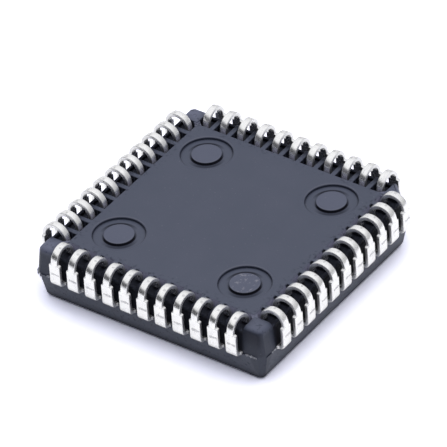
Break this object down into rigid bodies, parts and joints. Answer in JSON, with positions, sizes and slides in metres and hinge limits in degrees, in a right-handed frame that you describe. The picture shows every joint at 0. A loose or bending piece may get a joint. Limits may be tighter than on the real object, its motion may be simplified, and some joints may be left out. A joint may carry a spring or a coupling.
{
  "type": "plastic leaded chip carrier",
  "caption": "Square moulded chip carrier with J-shaped metal leads along every side, lead pockets in its underside and a chamfered index corner, lying with its leads up.",
  "frame": {"origin": "middle of the marking face, which is the face that the part lies on", "axes": "+Z out of the underside, towards the seating plane of the leads; +X and +Y square to the package sides, with the index corner at +X +Y and lead 1 at the middle of the +Y side"},
  "size_m": [0.0176, 0.0176, 0.0044],
  "materials": {
    "moulding_compound": "fine matt grain from the mould, dark blue-grey",
    "tin_plate": "bright tin plate on copper alloy strip",
    "copper_alloy": "rolled copper alloy strip",
    "silver_epoxy": "cured adhesive filled with silver flake",
    "silicon": "polished silicon",
    "gold_wire": "drawn gold wire"
  },
  "bodies": {
    "root": {"body": "moulding_compound", "lead_01": "tin_plate", "lead_02": "tin_plate", "lead_03": "tin_plate", "lead_04": "tin_plate", "lead_05": "tin_plate", "lead_06": "tin_plate", "lead_07": "tin_plate", "lead_08": "tin_plate", "lead_09": "tin_plate", "lead_10": "tin_plate", "lead_11": "tin_plate", "lead_12": "tin_plate", "lead_13": "tin_plate", "lead_14": "tin_plate", "lead_15": "tin_plate", "lead_16": "tin_plate", "lead_17": "tin_plate", "lead_18": "tin_plate", "lead_19": "tin_plate", "lead_20": "tin_plate", "lead_21": "tin_plate", "lead_22": "tin_plate", "lead_23": "tin_plate", "lead_24": "tin_plate", "lead_25": "tin_plate", "lead_26": "tin_plate", "lead_27": "tin_plate", "lead_28": "tin_plate", "lead_29": "tin_plate", "lead_30": "tin_plate", "lead_31": "tin_plate", "lead_32": "tin_plate", "lead_33": "tin_plate", "lead_34": "tin_plate", "lead_35": "tin_plate", "lead_36": "tin_plate", "lead_37": "tin_plate", "lead_38": "tin_plate", "lead_39": "tin_plate", "lead_40": "tin_plate", "lead_41": "tin_plate", "lead_42": "tin_plate", "lead_43": "tin_plate", "lead_44": "tin_plate", "die_pad": "copper_alloy", "die_attach": "silver_epoxy", "die": "silicon", "bond_wires": "gold_wire"}
  },
  "joints": []
}
